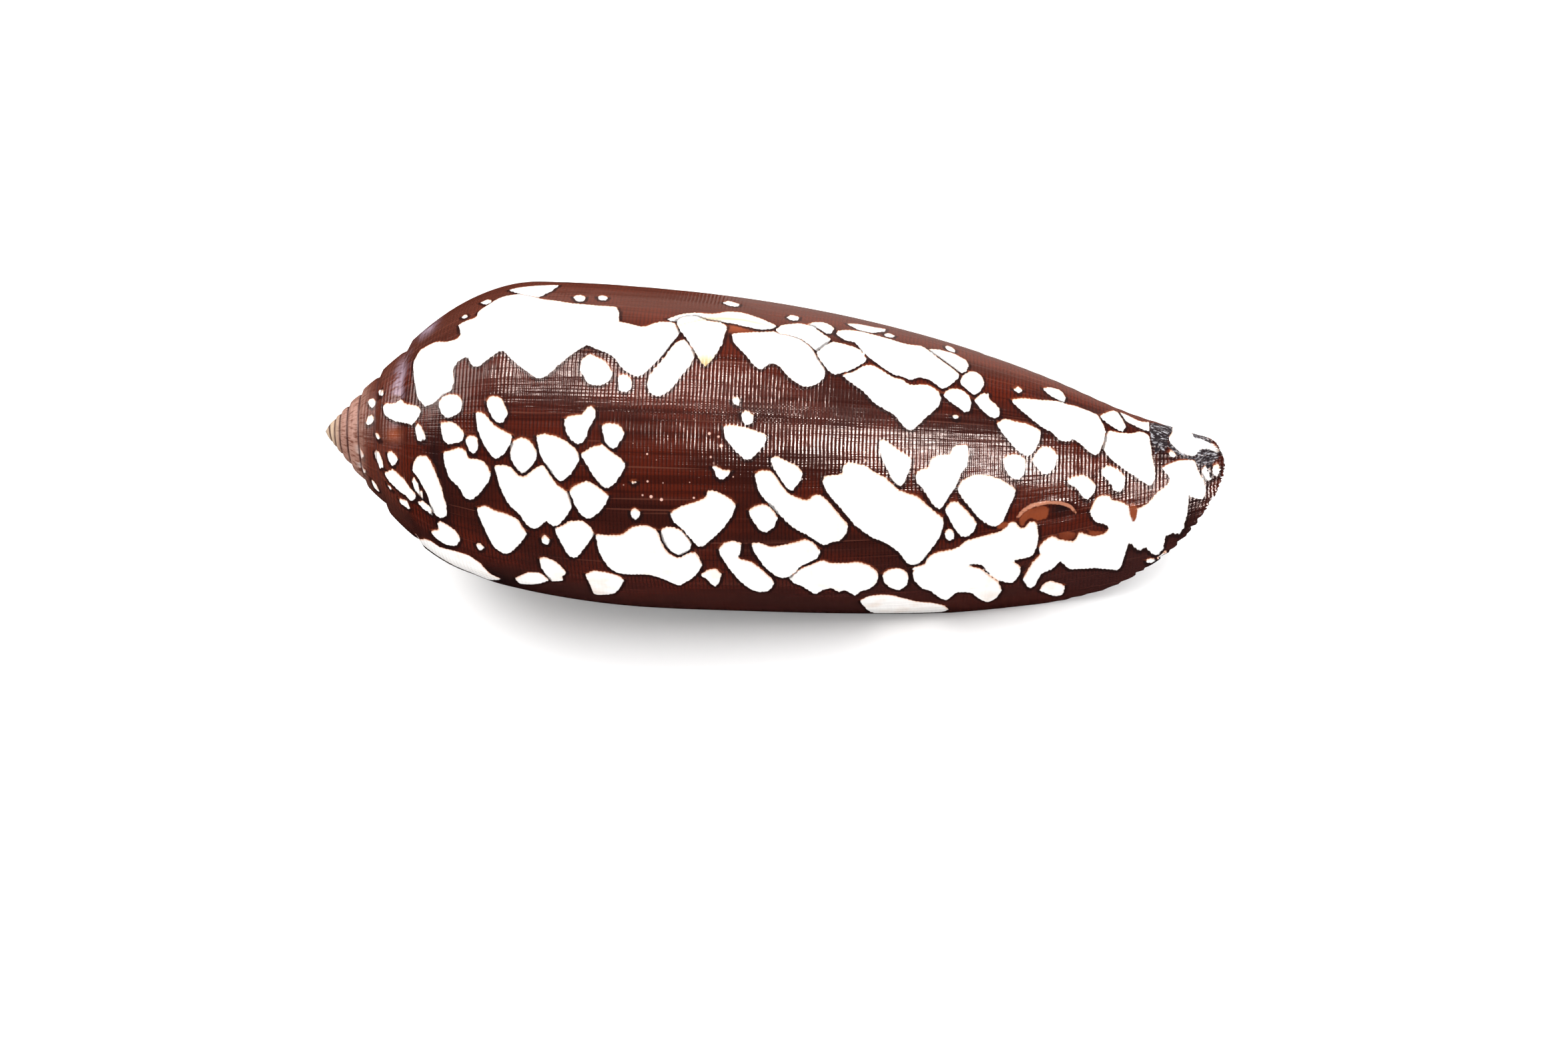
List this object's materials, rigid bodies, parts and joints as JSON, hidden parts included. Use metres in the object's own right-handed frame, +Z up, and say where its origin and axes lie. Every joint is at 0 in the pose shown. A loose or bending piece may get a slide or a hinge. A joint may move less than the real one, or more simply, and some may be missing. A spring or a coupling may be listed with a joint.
{
  "type": "cone shell",
  "caption": "Long cone shell with a blunt low spire, a long narrow mouth and brown and white tent markings, lying on its mouth side.",
  "frame": {"origin": "centre of the bounding box, on the floor the shell lies on", "axes": "+X along the shell from the spire to the narrow front end, -Y towards the lip, +Z up"},
  "size_m": [0.1046, 0.0372, 0.0352],
  "materials": {
    "shell": "glossy, dark red-brown with white tent markings"
  },
  "bodies": {
    "root": {"shell": "shell"}
  },
  "joints": []
}
